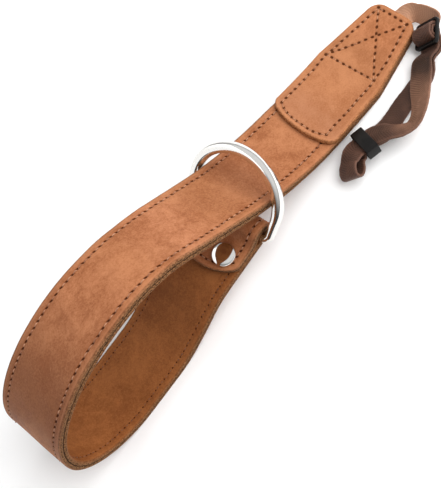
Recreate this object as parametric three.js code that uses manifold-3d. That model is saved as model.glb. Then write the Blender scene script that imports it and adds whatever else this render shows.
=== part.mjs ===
// Camera wrist strap: a band of two stitched leather layers that makes a hand loop through a
// D-ring, with a sewn end patch, a webbing loop for a strap lug, a slider and a keeper.
// Millimetres, +Z up. The strap lies on the plane z = 0: the end of its tail and the lower run
// of its loop rest there. +X points from the loop to the tail's end, -Y is the near side.
import * as THREE from 'three';
import { mergeVertices } from 'three/addons/utils/BufferGeometryUtils.js';
import Module from 'manifold-3d';

const wasm = await Module();
wasm.setup();

// ---- driving dimensions ----
const seam = 0.3;                 // gap between pieces that touch
const bandWidth = 32;
const endWidth = 21;              // the tail narrows to this at its end
const taperLength = 32;
const endCornerRadius = 5;
const outerThickness = 1.75;
const liningThickness = 1.65;
const bandThickness = outerThickness + seam + liningThickness;

const patchThickness = 2.1;
const patchLength = 66.5;         // from the strap's end to the middle of the patch's tip
const patchTipBulge = 4;          // how far the middle of the tip stands beyond its corners

const ringWire = 4;
const ringHalfWidth = 19.8;       // bar middle to the middle of the wire of a leg
const ringLeg = 9.6;              // straight leg between the bar and the half-round bow
const ringCorner = 3;             // bend radius between bar and leg
const ringTilt = 44;              // degrees from the lower run to the plane of the ring
const ringShift = 0.9;            // the ring sits this far to the far side of the fold

const foldOpening = 45;           // degrees that the fold turns past a half turn
const tabLength = 12.6;           // flat length of the folded end behind the fold
const tabBulge = 6.5;             // how far the rounded end of the tab bows out

const rivetCap = 10;              // diameter
const rivetCapHeight = 2.3;
const rivetPost = 3.2;
const rivetSpacing = 16;
const rivetFromBar = 14.4;

const webWidth = 10;
const webThickness = 1;
const grooveLength = 21;          // reach of the webbing under the end patch

const sliderWidth = 12.2;
const sliderBar = 2;              // middle bar
const sliderSlot = 3.3;
const sliderRail = 1.4;           // end bars
const sliderThickness = 1.8;
const keeperLength = 5.6;
const keeperWall = 1.1;

// ---- small helpers ----
const radians = THREE.MathUtils.degToRad;
const vector = (x, y, z) => new THREE.Vector3(x, y, z);
const along = (point, direction, distance) => point.clone().addScaledVector(direction, distance);

function solidFromRows(rows) {
  // rows: sections of a loft, each a list of points in turn round the section
  const positions = rows.flat().flatMap((point) => point.toArray());
  const count = rows[0].length;
  const index = [];
  for (let row = 0; row + 1 < rows.length; row += 1) {
    for (let k = 0; k < count; k += 1) {
      const a = row * count + k;
      const b = row * count + ((k + 1) % count);
      // opposite faces share the way that their quads are split, so layers stay evenly apart
      if (k < count / 2) index.push(a, b, a + count, b, b + count, a + count);
      else index.push(a, b, b + count, a, b + count, a + count);
    }
  }
  const last = (rows.length - 1) * count;
  for (let k = 1; k + 1 < count; k += 1) {
    index.push(0, k + 1, k, last, last + k, last + k + 1);
  }
  const geometry = new THREE.BufferGeometry();
  geometry.setAttribute('position', new THREE.Float32BufferAttribute(positions, 3));
  geometry.setIndex(index);
  return geometry;
}

function toSolid(geometry) {
  const bare = geometry.clone();
  bare.deleteAttribute('normal');
  bare.deleteAttribute('uv');
  const merged = mergeVertices(bare, 1e-4);
  return new wasm.Manifold(new wasm.Mesh({
    numProp: 3,
    vertProperties: new Float32Array(merged.attributes.position.array),
    triVerts: new Uint32Array(merged.index.array),
  }));
}

function cut(geometry, ...tools) {
  let solid = toSolid(geometry);
  for (const tool of tools) solid = solid.subtract(toSolid(tool));
  const mesh = solid.getMesh();
  const result = new THREE.BufferGeometry();
  result.setAttribute('position', new THREE.BufferAttribute(mesh.vertProperties, 3));
  result.setIndex(new THREE.BufferAttribute(mesh.triVerts, 1));
  return result;
}

// ---- the band's line ----
// Each section runs on from the last: its length, the degrees that it bends (plus lifts the band's
// heading), and the roll and sideways veer, in degrees, that it has reached at its end.
const foldRadius = ringWire / 2 + seam + bandThickness / 2;
const foldHeight = foldRadius * (1 + Math.cos(radians(foldOpening)));
const closingRadius = (foldHeight - bandThickness - seam) / (1 - Math.cos(radians(foldOpening)));
const startVeer = 2;
const bandSections = [
  { part: 'end flat on the surface', length: 24, bend: 0, roll: 0, veer: 2 },
  { part: 'tail lifting off', length: 14, bend: 8, roll: -0.4, veer: 1 },
  { part: 'tail', length: 30, bend: 12, roll: -6, veer: -1 },
  { part: 'rise to the ring', length: 32, bend: 15, roll: 2, veer: -2 },
  { part: 'through the ring', length: 16, bend: 7, roll: 6, veer: -2 },
  { part: 'straight rise', length: 0, bend: 0, roll: 10, veer: -1.5 },
  { part: 'shoulder', length: 14, bend: -8, roll: 14, veer: -1.5 },
  { part: 'shoulder', length: 16, bend: -20, roll: 14, veer: -1 },
  { part: 'crown', length: 32, bend: -29, roll: 8, veer: -1 },
  { part: 'crown', length: 26, bend: -26, roll: 1, veer: 0 },
  { part: 'tip of the loop', length: 12, bend: -15, roll: -2, veer: 0 },
  { part: 'tip of the loop', length: 12, bend: -18, roll: -4, veer: 0 },
  { part: 'tip of the loop', length: 12, bend: -25, roll: -3, veer: 0 },
  { part: 'tip of the loop', length: 24, bend: -56, roll: -2, veer: 0 },
  { part: 'down to the surface', length: 14, bend: -25, roll: 0, veer: 0 },
  { part: 'lower run flat on the surface', length: 18, bend: 0, roll: 0, veer: 0 },
  { part: 'lower run lifting', length: 16, bend: -22, roll: 1, veer: 1 },
  { part: 'lower run', length: 14, bend: -4, roll: 3, veer: 1 },
  { part: 'lower run levelling', length: 16, bend: 26, roll: 4, veer: 2 },
  { part: 'under the tab', length: 22.7, bend: 0, roll: 4, veer: 2 },
];
// From the fold on, the band turns about the line of the ring's bar alone.
const foldSections = [
  {
    part: 'fold round the bar',
    length: foldRadius * radians(180 + foldOpening),
    bend: -180 - foldOpening,
  },
  { part: 'closing on the run', length: closingRadius * radians(foldOpening), bend: foldOpening },
  { part: 'tab', length: tabLength, bend: 0 },
];
const straightRise = bandSections.findIndex((section) => section.part === 'straight rise');
const restSection = bandSections.findIndex((section) => section.part.startsWith('lower run flat'));

function heading(pitch, veer) {
  const [p, v] = [radians(pitch), radians(veer)];
  return vector(-Math.cos(p) * Math.cos(v), Math.sin(v), Math.sin(p) * Math.cos(v));
}

function frameAt(state) {
  const forward = heading(state.pitch, state.veer);
  const level = vector(0, -1, 0).addScaledVector(forward, forward.y).normalize();
  const across = level.applyAxisAngle(forward, radians(state.roll));
  return { ...state, forward, across, out: forward.clone().cross(across) };
}

function stepsFor(section) {
  return Math.max(1, Math.ceil(Math.max(section.length / 4, Math.abs(section.bend) / 7)));
}

function chordOf(section, steps) {
  const stride = section.length / steps;
  const halfBend = radians(section.bend / steps / 2);
  return halfBend === 0 ? stride : (stride * Math.sin(halfBend)) / halfBend;
}

function loopStations() {
  const marks = [];
  let state = {
    travel: 0, centre: vector(0, 0, bandThickness / 2), pitch: 0, roll: 0, veer: startVeer,
  };
  const list = [frameAt(state)];
  for (const section of bandSections) {
    marks.push(list.length - 1);
    const steps = stepsFor(section);
    const from = state;
    for (let step = 1; section.length > 0 && step <= steps; step += 1) {
      const mix = (key, part) => from[key] + (section[key] - from[key]) * part;
      const pitchAt = (part) => from.pitch + section.bend * part;
      const middle = (step - 0.5) / steps;
      const direction = heading(pitchAt(middle), mix('veer', middle));
      state = {
        travel: state.travel + section.length / steps,
        centre: along(state.centre, direction, chordOf(section, steps)),
        pitch: pitchAt(step / steps),
        roll: mix('roll', step / steps),
        veer: mix('veer', step / steps),
      };
      list.push(frameAt(state));
    }
  }
  return { list, marks };
}

function foldStationsFrom(start) {
  const list = [];
  let last = start;
  for (const section of foldSections) {
    const steps = stepsFor(section);
    for (let step = 1; step <= steps; step += 1) {
      const turn = radians(-section.bend / steps);
      const direction = last.forward.clone().applyAxisAngle(last.across, turn / 2);
      const forward = last.forward.clone().applyAxisAngle(last.across, turn);
      last = {
        travel: last.travel + section.length / steps,
        centre: along(last.centre, direction, chordOf(section, steps)),
        forward,
        across: last.across,
        out: forward.clone().cross(last.across),
      };
      list.push(last);
    }
  }
  return list;
}

// The straight rise is as long as brings the lower run back down to the surface.
const dropped = loopStations();
const shortfall = bandThickness / 2 - dropped.list[dropped.marks[restSection]].centre.z;
const risePitch = dropped.list[dropped.marks[straightRise]].pitch;
bandSections[straightRise].length = shortfall / Math.sin(radians(risePitch));
const loop = loopStations();
const foldStation = loop.list[loop.list.length - 1];
const stations = [...loop.list, ...foldStationsFrom(foldStation)];
const bandLength = stations[stations.length - 1].travel;

// ---- leather pieces ----
function endHalfWidth(travel) {
  const taper = Math.min(travel / taperLength, 1);
  const half = (endWidth + (bandWidth - endWidth) * taper) / 2;
  if (travel >= endCornerRadius) return half;
  const inset = endCornerRadius - travel;
  return half - endCornerRadius + Math.sqrt(endCornerRadius ** 2 - inset ** 2);
}

function bowedTip(toApex, bulge) {
  // half width of a tip whose outline bows out by the bulge, counted back from its apex
  return (bandWidth / 2) * Math.min(1, (toApex / bulge)) ** 0.42;
}

function withTips(list, tips) {
  // adds close stations where the outline turns quickly
  const travels = list.map((station) => station.travel);
  const extra = tips.filter((travel) => travels.every((other) => Math.abs(other - travel) > 0.05));
  const filled = [...list];
  for (const travel of extra) {
    const next = filled.findIndex((station) => station.travel > travel);
    if (next > 0) {
      const [a, b] = [filled[next - 1], filled[next]];
      const part = (travel - a.travel) / (b.travel - a.travel);
      const blend = (key) => a[key].clone().lerp(b[key], part);
      filled.splice(next, 0, {
        travel,
        centre: blend('centre'),
        forward: blend('forward').normalize(),
        across: blend('across').normalize(),
        out: blend('out').normalize(),
      });
    }
  }
  return filled;
}

function leatherLayer(list, low, high, halfWidth) {
  const rows = list.map((station) => {
    const half = Math.max(halfWidth(station.travel), 0.4);
    const corner = (side, offset) => along(along(station.centre, station.across, side * half),
      station.out, offset);
    return [corner(-1, low), corner(1, low), corner(1, high), corner(-1, high)];
  });
  return solidFromRows(rows);
}

const nearEnd = [0.15, 0.5, 1, 1.8, 3, 5];
const bandHalfWidth = (travel) => Math.min(
  endHalfWidth(travel),
  bowedTip(bandLength - travel, tabBulge),
);
const tipSteps = [0.02, 0.1, 0.25, 0.5, 1];
const bandList = withTips(stations, [
  ...nearEnd,
  ...tipSteps.map((part) => bandLength - part * tabBulge),
]);
const patchHalfWidth = (travel) => Math.min(
  endHalfWidth(travel),
  bowedTip(patchLength - travel, patchTipBulge),
);
const patchList = withTips(stations, [
  ...nearEnd,
  patchLength,
  ...tipSteps.map((part) => patchLength - part * patchTipBulge),
]).filter((station) => station.travel <= patchLength);

const innerFace = -bandThickness / 2;
const layerSplit = innerFace + liningThickness;
const outerFace = bandThickness / 2;

// ---- rivets through the tab and the run under it ----
const backOf = (station, distance) => along(station.centre, station.forward, -distance);
const upward = foldStation.out.clone().negate();
const stackHeight = 2 * bandThickness + seam;

function rivetPlace(side) {
  const base = along(backOf(foldStation, rivetFromBar), foldStation.across, side * rivetSpacing / 2);
  return along(base, foldStation.out, bandThickness / 2);
}

function placedAt(geometry, origin, zAxis, xAxis) {
  const yAxis = zAxis.clone().cross(xAxis);
  const matrix = new THREE.Matrix4().makeBasis(xAxis, yAxis, zAxis).setPosition(origin);
  return geometry.applyMatrix4(matrix);
}

function rivetGeometry() {
  const cap = rivetCap / 2;
  const post = rivetPost / 2;
  const foot = -seam;
  const top = stackHeight + seam;
  const profile = [
    [0, foot - 0.9], [cap * 0.8, foot - 0.9], [cap * 0.9, foot - 0.5], [cap * 0.9, foot],
    [post, foot], [post, top], [cap * 0.94, top], [cap, top + 0.35],
    [cap * 0.96, top + 0.8], [cap * 0.8, top + rivetCapHeight * 0.66],
    [cap * 0.45, top + rivetCapHeight * 0.93], [0, top + rivetCapHeight],
  ];
  const geometry = new THREE.LatheGeometry(profile.map(([r, z]) => new THREE.Vector2(r, z)), 24);
  return geometry.rotateX(Math.PI / 2);
}

function rivetHole(side) {
  const length = stackHeight + 4;
  const hole = new THREE.CylinderGeometry(rivetPost / 2 + seam, rivetPost / 2 + seam, length, 16);
  hole.rotateX(Math.PI / 2).translate(0, 0, stackHeight / 2);
  return placedAt(hole, rivetPlace(side), upward, foldStation.forward);
}

// ---- D-ring ----
function ringGeometry() {
  const corner = ringCorner;
  const half = ringHalfWidth;
  const outline = new THREE.Path();
  outline.moveTo(0, 0);
  outline.lineTo(half - corner, 0);
  outline.absarc(half - corner, corner, corner, -Math.PI / 2, 0, false);
  outline.lineTo(half, ringLeg);
  outline.absarc(0, ringLeg, half, 0, Math.PI, false);
  outline.lineTo(-half, corner);
  outline.absarc(corner - half, corner, corner, Math.PI, 1.5 * Math.PI, false);
  outline.lineTo(0, 0);
  const sides = 14;
  const points = outline.getPoints(12);
  const distinct = points.filter((point, k) => k === 0 || point.distanceTo(points[k - 1]) > 0.01);
  distinct.pop();
  const count = distinct.length;
  const rows = distinct.map((point, k) => {
    const before = distinct[(k + count - 1) % count];
    const after = distinct[(k + 1) % count];
    const turn = after.clone().sub(before).normalize();
    return Array.from({ length: sides }, (_, side) => {
      const angle = (2 * Math.PI * side) / sides;
      const radius = ringWire / 2;
      return vector(
        point.x + turn.y * radius * Math.cos(angle),
        point.y - turn.x * radius * Math.cos(angle),
        radius * Math.sin(angle),
      );
    });
  });
  const positions = rows.flat().flatMap((point) => point.toArray());
  const index = [];
  for (let row = 0; row < count; row += 1) {
    for (let side = 0; side < sides; side += 1) {
      const next = (side + 1) % sides;
      const a = row * sides + side;
      const b = row * sides + next;
      const c = ((row + 1) % count) * sides + side;
      const d = ((row + 1) % count) * sides + next;
      index.push(a, c, b, b, c, d);
    }
  }
  const geometry = new THREE.BufferGeometry();
  geometry.setAttribute('position', new THREE.Float32BufferAttribute(positions, 3));
  geometry.setIndex(index);
  return geometry;
}

const barCentre = along(along(foldStation.centre, upward, foldRadius), foldStation.across, -ringShift);
const ringUp = along(
  foldStation.forward.clone().multiplyScalar(Math.cos(radians(ringTilt))),
  upward,
  Math.sin(radians(ringTilt)),
);

// ---- webbing, slider and keeper ----
// A fitting's own frame: its run goes along the webbing, its over direction stands off its face.
const sliderFrame = { x: -2.6, y: -17, z: 6.7, heading: 214, lean: 42 };
const keeperFrame = { x: -53.2, y: -24, z: 6.3, heading: 164, lean: 22 };
const eyeFrame = { x: -66, y: -27, z: 6.5, heading: 215, lean: 40 };

function webAxes(heading, lean) {
  // heading in plan, degrees from +X; the lean tips the right-hand edge down
  const forward = vector(Math.cos(radians(heading)), Math.sin(radians(heading)), 0);
  const right = vector(forward.y, -forward.x, 0).multiplyScalar(Math.cos(radians(lean)));
  right.z = -Math.sin(radians(lean));
  return { forward, right, over: right.clone().cross(forward) };
}

function inFrame(frame, run, over, extra = {}) {
  const axes = webAxes(frame.heading, frame.lean);
  const origin = vector(frame.x, frame.y, frame.z);
  const point = along(along(origin, axes.forward, run), axes.over, over);
  return { x: point.x, y: point.y, z: point.z, heading: frame.heading, lean: frame.lean, ...extra };
}

const layerPitch = webThickness + seam + 0.1;
const railPass = -(sliderThickness / 2 + seam + webThickness / 2);
const barWrap = sliderThickness / 2 + seam + webThickness / 2;
const webLevel = bandThickness + seam + webThickness / 2;
const full = { width: webWidth };

// The webbing's middle line, from its sewn end to its free end. The heading (in plan) and the lean,
// which tips the right-hand edge down, set its width direction and stay those of the outward run
// where the webbing comes back. It is narrower where it cups.
const sewnEnd = [
  { x: -grooveLength, y: -0.6, z: webLevel, heading: 354, lean: 0, ...full },
  { x: -12, y: -1.7, z: webLevel, heading: 352, lean: 0, ...full },
  { x: -4, y: -2.8, z: webLevel, heading: 351, lean: 0, ...full },
];
const turnAtEnd = [
  { x: 0.5, y: -3.4, z: webLevel, heading: 347, lean: 0, width: 9.2 },
  { x: 2.8, y: -4.3, z: 4.2, heading: 330, lean: 22, width: 8.4 },
  { x: 4.1, y: -6.7, z: 4.2, heading: 293, lean: 41, width: 7.6 },
  { x: 4.5, y: -9.8, z: 4.8, heading: 258, lean: 44, width: 8.2 },
];
const throughSlider = [
  { run: -6.7, over: railPass - 0.3 },
  { run: -5.2, over: railPass - 0.15 },
  { run: -4.1, over: -1.65 },
  { run: -3.5, over: -0.7 },
  { run: -3.3, over: 0.5 },
  { run: -2.75, over: 2 },
  { run: -1.5, over: 2.95 },
  { run: 0, over: barWrap + layerPitch },
  { run: 1.5, over: 2.95 },
  { run: 2.75, over: 2 },
  { run: 3.3, over: 0.5 },
  { run: 3.5, over: -0.7 },
  { run: 4.1, over: -1.65 },
  { run: 5.2, over: railPass - 0.15 },
  { run: 6.7, over: railPass - 0.2 },
].map(({ run, over }) => inFrame(sliderFrame, run, over, full));
const outwardRun = [
  { x: -12.6, y: -21.9, z: 5.9, heading: 210, lean: 35, ...full },
  { x: -17.5, y: -24.9, z: 5.6, heading: 208, lean: 28, ...full },
  { x: -22.6, y: -28.2, z: 6, heading: 207, lean: 32, ...full },
  { x: -27.6, y: -31.9, z: 6.7, heading: 203, lean: 43, ...full },
  { x: -32.6, y: -34.4, z: 7, heading: 188, lean: 50, ...full },
  { x: -37.3, y: -35.1, z: 7, heading: 172, lean: 49, ...full },
  { x: -41.8, y: -32.8, z: 7.4, heading: 155, lean: 38, ...full },
  { x: -45.7, y: -28.6, z: 8.2, heading: 147, lean: 26, ...full },
];
const keeperRuns = [-keeperLength / 2 - 0.4, 0, keeperLength / 2 + 1];
const upperInKeeper = keeperRuns.map((run) => inFrame(keeperFrame, run, layerPitch / 2, full));
const toEye = { x: -60.8, y: -23.1, z: 8.3, heading: 192, lean: 25, ...full };
const aroundEye = [
  { run: -3.6, over: 2 },
  { run: -1.4, over: 2.4 },
  { run: 1, over: 2 },
  { run: 2.3, over: 0.9 },
  { run: 2.3, over: -0.9 },
  { run: 1, over: -2 },
  { run: -1.4, over: -2.4 },
  { run: -3.6, over: -2 },
].map(({ run, over }) => inFrame(eyeFrame, run, over, full));
const innerRun = [
  { x: -47, y: -25.9, z: 4.5, heading: 163, lean: 16, ...full },
  { x: -42, y: -26.3, z: 3.1, heading: 171, lean: 10, width: 9.2 },
  { x: -36.4, y: -25.7, z: 1.9, heading: 177, lean: 5, width: 8.4 },
  { x: -30.6, y: -25.2, z: 1.6, heading: 183, lean: 5, width: 8.4 },
  { x: -24.6, y: -25.6, z: 2.1, heading: 195, lean: 12, width: 9 },
];

function under(station, drop) {
  // the same place on the layer below
  return inFrame(station, 0, -drop, full);
}

const returnRun = [
  under(toEye, 3.9),
  ...upperInKeeper.map((station) => under(station, layerPitch)).reverse(),
  ...innerRun,
  under(outwardRun[1], layerPitch + 0.35),
  under(outwardRun[0], layerPitch + 0.35),
];
const roundBar = [
  { run: 6.7, over: railPass - layerPitch - 0.3 },
  { run: 4.7, over: railPass - layerPitch - 0.2 },
  { run: 2.4, over: -2.8 },
  { run: 1, over: -2.2 },
  { run: -0.3, over: -barWrap - 0.1 },
  { run: -1.5, over: -1.5 },
  { run: -2, over: 0 },
  { run: -1.5, over: 1.5 },
  { run: 0, over: barWrap },
  { run: 1.5, over: 1.5 },
  { run: 2, over: 0 },
  { run: 1.85, over: -0.9 },
].map(({ run, over }) => inFrame(sliderFrame, run, over, full));
const webStations = [
  ...sewnEnd, ...turnAtEnd, ...throughSlider, ...outwardRun, ...upperInKeeper, toEye,
  ...aroundEye, ...returnRun, ...roundBar,
];

function ribbon(table, spare, stepLength) {
  const points = table.map(({ x, y, z }) => vector(x, y, z));
  const curve = new THREE.CatmullRomCurve3(points, false, 'centripetal');
  const rows = [];
  for (let k = 0; k + 1 < table.length; k += 1) {
    const [a, b] = [table[k], table[k + 1]];
    const steps = Math.max(1, Math.round(points[k].distanceTo(points[k + 1]) / stepLength));
    for (let step = k === 0 ? 0 : 1; step <= steps; step += 1) {
      const part = step / steps;
      const blend = (key) => a[key] + (b[key] - a[key]) * part;
      const at = (k + part) / (table.length - 1);
      const centre = curve.getPoint(at);
      const tangent = curve.getTangent(at);
      const { right } = webAxes(blend('heading'), blend('lean'));
      const across = along(right, tangent, -right.dot(tangent)).normalize();
      const face = tangent.clone().cross(across);
      const halfWidth = blend('width') / 2 + spare;
      const halfThickness = webThickness / 2 + spare;
      rows.push([[-1, -1], [1, -1], [1, 1], [-1, 1]].map(([side, up]) => along(
        along(centre, across, side * halfWidth),
        face,
        up * halfThickness,
      )));
    }
  }
  return solidFromRows(rows);
}

function grooveGeometry() {
  const back = { ...sewnEnd[0], x: sewnEnd[0].x - seam };
  const beyond = { ...turnAtEnd[0], x: 3, y: -4.1 };
  return ribbon([back, ...sewnEnd.slice(1), turnAtEnd[0], beyond], seam, 2);
}

function roundedPlate(halfX, halfY, corner, thickness) {
  const signs = [[1, 1], [-1, 1], [-1, -1], [1, -1]];
  const outline = signs.flatMap(([i, j], quarter) => [0, 1, 2, 3].map((step) => {
    const angle = radians(90 * quarter + 30 * step);
    return new THREE.Vector2(
      i * (halfX - corner) + corner * Math.cos(angle),
      j * (halfY - corner) + corner * Math.sin(angle),
    );
  }));
  const shape = new THREE.Shape(outline);
  const geometry = new THREE.ExtrudeGeometry(shape, { depth: thickness, bevelEnabled: false });
  return geometry.translate(0, 0, -thickness / 2);
}

function inWebFrame(geometry, frame) {
  const axes = webAxes(frame.heading, frame.lean);
  const xAxis = axes.forward;
  return placedAt(geometry, vector(frame.x, frame.y, frame.z), axes.over, xAxis);
}

function sliderGeometry() {
  const halfLength = sliderBar / 2 + sliderSlot + sliderRail;
  const slotCentre = (sliderBar + sliderSlot) / 2;
  const slots = [-1, 1].map((end) => new THREE.BoxGeometry(
    sliderSlot,
    webWidth + 0.8,
    sliderThickness * 2,
  ).translate(end * slotCentre, 0, 0));
  return cut(roundedPlate(halfLength, sliderWidth / 2, 1.6, sliderThickness), ...slots);
}

function keeperGeometry() {
  const height = 2 * webThickness + 5 * seam;
  const width = webWidth + 1.6;
  const block = roundedPlate(width / 2 + keeperWall, height / 2 + keeperWall, 1.2, keeperLength);
  const passage = new THREE.BoxGeometry(width, height, keeperLength * 2);
  const endOn = new THREE.Matrix4().makeBasis(vector(0, 1, 0), vector(0, 0, 1), vector(1, 0, 0));
  return cut(block, passage).applyMatrix4(endOn);
}

// ---- assembly ----
const leather = (name, color) => new THREE.MeshStandardMaterial({
  name, color, roughness: 0.6, metalness: 0,
});
const plastic = new THREE.MeshStandardMaterial({
  name: 'black_plastic', color: 0x16161a, roughness: 0.4, metalness: 0,
});
const nickel = new THREE.MeshStandardMaterial({
  name: 'polished_nickel', color: 0xd9d9dc, roughness: 0.15, metalness: 1,
});
const nylon = new THREE.MeshStandardMaterial({
  name: 'brown_webbing', color: 0x4a342b, roughness: 0.8, metalness: 0,
});

const group = new THREE.Group();
function addPiece(name, geometry, material) {
  const mesh = new THREE.Mesh(geometry, material);
  mesh.name = name;
  group.add(mesh);
  return mesh;
}

const holes = [rivetHole(-1), rivetHole(1)];
addPiece('outer_leather', cut(
  leatherLayer(bandList, layerSplit + seam, outerFace, bandHalfWidth),
  ...holes,
), leather('tan_leather', 0xb4703f));
addPiece('lining_leather', cut(
  leatherLayer(bandList, innerFace, layerSplit, bandHalfWidth),
  ...holes,
), leather('inner_leather', 0x8a5530));
addPiece('end_patch', cut(
  leatherLayer(
    patchList,
    outerFace + seam,
    outerFace + seam + patchThickness,
    patchHalfWidth,
  ),
  grooveGeometry(),
), leather('patch_leather', 0xd08a58));
addPiece('d_ring', placedAt(
  ringGeometry(),
  barCentre,
  foldStation.across.clone().cross(ringUp),
  foldStation.across,
), nickel);
addPiece('rivet_near', placedAt(rivetGeometry(), rivetPlace(1), upward, foldStation.forward), nickel);
addPiece('rivet_far', placedAt(rivetGeometry(), rivetPlace(-1), upward, foldStation.forward), nickel);

addPiece('webbing', ribbon(webStations, 0, 2), nylon);
addPiece('slider', inWebFrame(sliderGeometry(), sliderFrame), plastic);
addPiece('keeper', inWebFrame(keeperGeometry(), keeperFrame), plastic);

// The frame's origin is at the middle of the strap's box, on the surface that it rests on.
const box = new THREE.Box3().setFromObject(group, true);
const boxCentre = box.getCenter(new THREE.Vector3());
group.position.set(-boxCentre.x, -boxCentre.y, -box.min.z);

export default group;
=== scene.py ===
from math import ceil, cos, pi, radians, sin, sqrt

import bmesh
import bpy
import numpy as np
from mathutils import Matrix, Vector
from numpy.linalg import norm


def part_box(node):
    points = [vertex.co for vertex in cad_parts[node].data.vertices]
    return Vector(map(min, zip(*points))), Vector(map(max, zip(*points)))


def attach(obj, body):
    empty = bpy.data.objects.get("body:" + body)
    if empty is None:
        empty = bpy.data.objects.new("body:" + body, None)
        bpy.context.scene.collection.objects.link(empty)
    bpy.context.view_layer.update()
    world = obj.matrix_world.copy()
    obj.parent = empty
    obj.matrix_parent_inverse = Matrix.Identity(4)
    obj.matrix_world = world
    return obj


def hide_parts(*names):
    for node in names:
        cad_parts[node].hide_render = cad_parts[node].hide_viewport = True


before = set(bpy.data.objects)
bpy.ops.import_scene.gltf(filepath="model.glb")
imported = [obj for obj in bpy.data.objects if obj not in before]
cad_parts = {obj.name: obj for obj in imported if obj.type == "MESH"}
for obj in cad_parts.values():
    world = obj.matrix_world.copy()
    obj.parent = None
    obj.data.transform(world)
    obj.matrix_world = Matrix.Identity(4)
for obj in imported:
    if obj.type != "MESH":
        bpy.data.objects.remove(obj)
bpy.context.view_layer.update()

# Lengths are in millimetres until a mesh is made, angles are in degrees.
mm = 0.001
rng = np.random.default_rng(7)

band = {
    "width": 32.0,
    "endWidth": 21.0,  # the tail narrows to this at its end
    "taper": 32.0,
    "endCorner": 5.0,
    "outer": 1.75,  # thickness of each leather layer
    "lining": 1.65,
    "gap": 0.3,
    "startVeer": 2.0,
    "foldOpening": 45.0,  # the fold turns past a half turn by this
    "tab": 12.6,  # flat length behind the fold
    "tabBulge": 6.5,  # how far the rounded end bows out
    "tabCorner": 1.6,
    "bowPower": 2.38,  # form of the bowed ends, and about its inverse
    "bowRoot": 0.42,
    "splitGap": 0.02,  # what each layer keeps clear of the joint between them
}
halfBand = band["width"] / 2
patch = {
    "length": 66.5,
    "thickness": 2.1,
    "bulge": 4.0,
    "corner": 2.6,
    "rimRadius": 0.55,
    "lift": 0.06,  # its underside stands this far over the band's face
    "swelling": 0.32,  # over the webbing's sewn end
    "swollen": {"across": 0.4, "fromTail": (-1, 2), "toEnd": (17, 25), "toSide": (3.6, 6.2)},
}
ring = {
    "wire": 4.0,
    "halfWidth": 19.8,  # to the middle of the wire of a leg
    "leg": 9.6,
    "corner": 3.0,
    "tilt": 44.0,  # from the lower run to the plane of the ring
    "shift": 0.9,  # to the far side of the fold
    "squareness": 2.7,  # 2 is a round section, more is squarer
    "bowSize": 1.12,  # the wire is this much thicker round the bow than at the bar
    "sides": 40,
    "cornerSteps": 14,
    "bowSteps": 110,
    "barSteps": 22,
}
bandThickness = band["outer"] + band["gap"] + band["lining"]
innerFace = -bandThickness / 2
outerFace = bandThickness / 2
patchFace = outerFace + band["gap"] + patch["thickness"]
layerSplit = innerFace + band["lining"] + band["gap"] / 2

# The band's line runs from the tail's end: plus bends lift it, roll and veer are reached at each end.
foldRadius = ring["wire"] / 2 + band["gap"] + bandThickness / 2
opening = radians(band["foldOpening"])
foldHeight = foldRadius * (1 + cos(opening))
closingRadius = (foldHeight - bandThickness - band["gap"]) / (1 - cos(opening))
sectionColumns = ("part", "length", "bend", "roll", "veer")
bandSections = [dict(zip(sectionColumns, row)) for row in (
    ("end flat on the surface", 24, 0, 0, 2),
    ("tail lifting off", 14, 8, -0.4, 1),
    ("tail", 30, 12, -6, -1),
    ("rise to the ring", 32, 15, 2, -2),
    ("through the ring", 16, 7, 6, -2),
    ("straight rise", 0, 0, 10, -1.5),
    ("shoulder", 14, -8, 14, -1.5),
    ("shoulder", 16, -20, 14, -1),
    ("crown", 32, -29, 8, -1),
    ("crown", 26, -26, 1, 0),
    ("tip of the loop", 12, -15, -2, 0),
    ("tip of the loop", 12, -18, -4, 0),
    ("tip of the loop", 12, -25, -3, 0),
    ("tip of the loop", 24, -56, -2, 0),
    ("down to the surface", 14, -25, 0, 0),
    ("lower run flat on the surface", 18, 0, 0, 0),
    ("lower run lifting", 16, -22, 1, 1),
    ("lower run", 14, -4, 3, 1),
    ("lower run levelling", 16, 26, 4, 2),
    ("under the tab", 22.7, 0, 4, 2),
)]
foldSections = (
    (foldRadius * (pi + opening), -180 - band["foldOpening"]),
    (closingRadius * opening, band["foldOpening"]),
    (band["tab"], 0),
)


def unit(vectors):
    vectors = np.asarray(vectors, float)
    return vectors / norm(vectors, axis=-1, keepdims=True)


def turned(vector, axis, angle):
    c, s = cos(angle), sin(angle)
    return vector * c + np.cross(axis, vector) * s + axis * (axis @ vector) * (1 - c)


def headingOf(pitch, veer):
    p, v = radians(pitch), radians(veer)
    return np.array([-cos(p) * cos(v), sin(v), sin(p) * cos(v)])


def frameOf(state):
    forward = headingOf(state["pitch"], state["veer"])
    level = unit(np.array([0.0, -1.0, 0.0]) + forward * forward[1])
    across = turned(level, forward, radians(state["roll"]))
    return {**state, "forward": forward, "across": across, "out": np.cross(forward, across)}


def walkBand(sections, stride=0.25):
    state = {"travel": 0.0, "centre": np.array([0, 0, bandThickness / 2]),
             "pitch": 0.0, "roll": 0.0, "veer": band["startVeer"]}
    walked = [frameOf(state)]
    reached = {}
    for section in sections:
        reached.setdefault(section["part"], walked[-1])
        steps = max(1, ceil(section["length"] / stride))
        start = state
        for step in range(1, steps + 1 if section["length"] > 0 else 0):
            def mixed(key, part):
                return start[key] + (section[key] - start[key]) * part
            middle = (step - 0.5) / steps
            heading = headingOf(start["pitch"] + section["bend"] * middle, mixed("veer", middle))
            state = {
                "travel": state["travel"] + section["length"] / steps,
                "centre": state["centre"] + heading * section["length"] / steps,
                "pitch": start["pitch"] + section["bend"] * step / steps,
                "roll": mixed("roll", step / steps),
                "veer": mixed("veer", step / steps),
            }
            walked.append(frameOf(state))
    return walked, reached


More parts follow.
